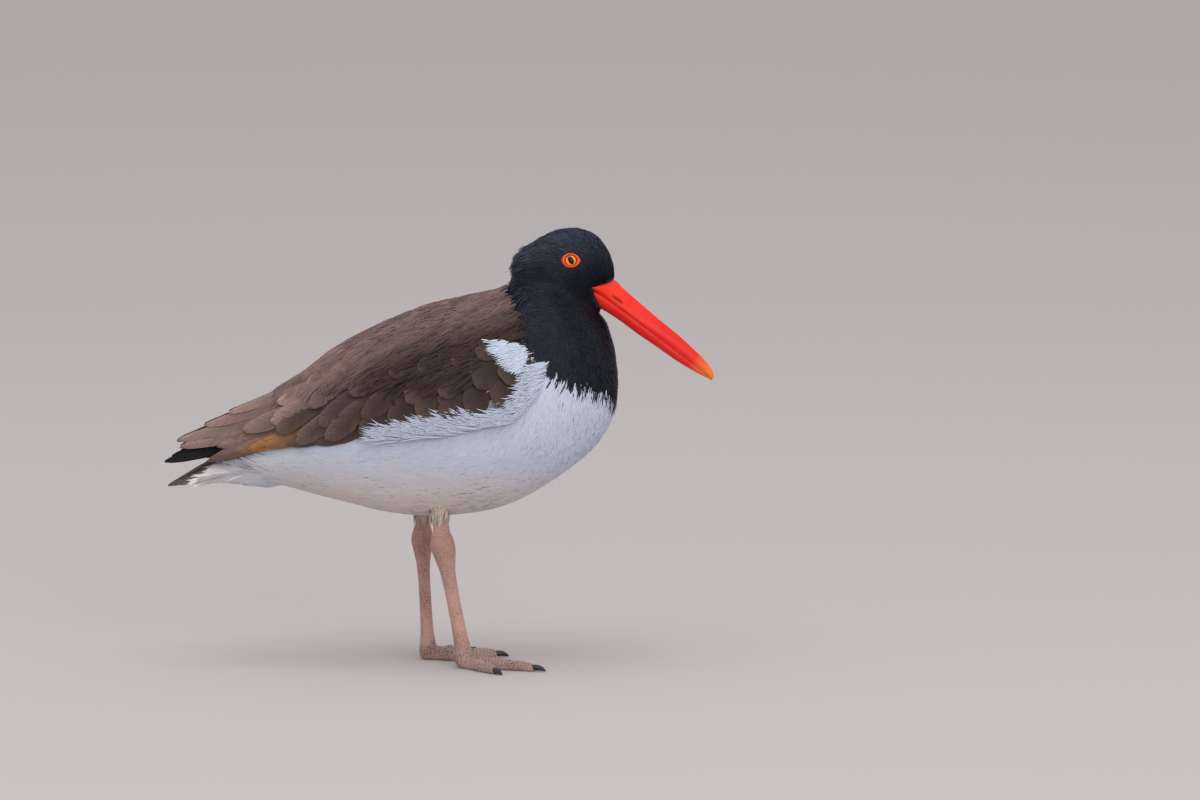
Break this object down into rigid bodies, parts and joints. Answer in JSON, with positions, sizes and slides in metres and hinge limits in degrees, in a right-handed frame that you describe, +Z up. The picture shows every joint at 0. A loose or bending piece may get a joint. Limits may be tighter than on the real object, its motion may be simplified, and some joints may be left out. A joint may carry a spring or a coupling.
{
  "type": "oystercatcher",
  "caption": "Life-size still model of an oystercatcher standing on both feet, long bill held low, wings and tail folded.",
  "frame": {"origin": "on the ground under the middle of the whole bird", "axes": "+X towards the bill, +Y to the bird's left, +Z up"},
  "size_m": [0.3291, 0.1126, 0.2639],
  "materials": {
    "black_feathers": "soft black head and neck feathers with a faint blue-grey sheen",
    "white_feathers": "matt white breast, belly and flank feathers",
    "brown_feathers": "matt dark brown back and wing feathers with paler edges",
    "tail_feathers": "matt blackish brown tail feathers",
    "bill_horn": "smooth red-orange horn, satin",
    "eye": "wet orange-yellow iris with a dark pupil, glossy",
    "leg_skin": "dry pinkish scaled skin",
    "claw": "black horn, satin"
  },
  "bodies": {
    "root": {"head": "black_feathers", "neck": "black_feathers", "torso": "white_feathers", "wing_right": "brown_feathers", "wing_left": "brown_feathers", "tail": "tail_feathers", "bill_upper": "bill_horn", "bill_lower": "bill_horn", "eye_right": "eye", "eye_left": "eye", "leg_right_tibia": "leg_skin", "leg_left_tibia": "leg_skin", "leg_right_tarsus": "leg_skin", "leg_left_tarsus": "leg_skin", "toe_right_inner": "leg_skin", "toe_right_middle": "leg_skin", "toe_right_outer": "leg_skin", "toe_left_inner": "leg_skin", "toe_left_middle": "leg_skin", "toe_left_outer": "leg_skin", "claw_right_inner": "claw", "claw_right_middle": "claw", "claw_right_outer": "claw", "claw_left_inner": "claw", "claw_left_middle": "claw", "claw_left_outer": "claw"}
  },
  "joints": []
}
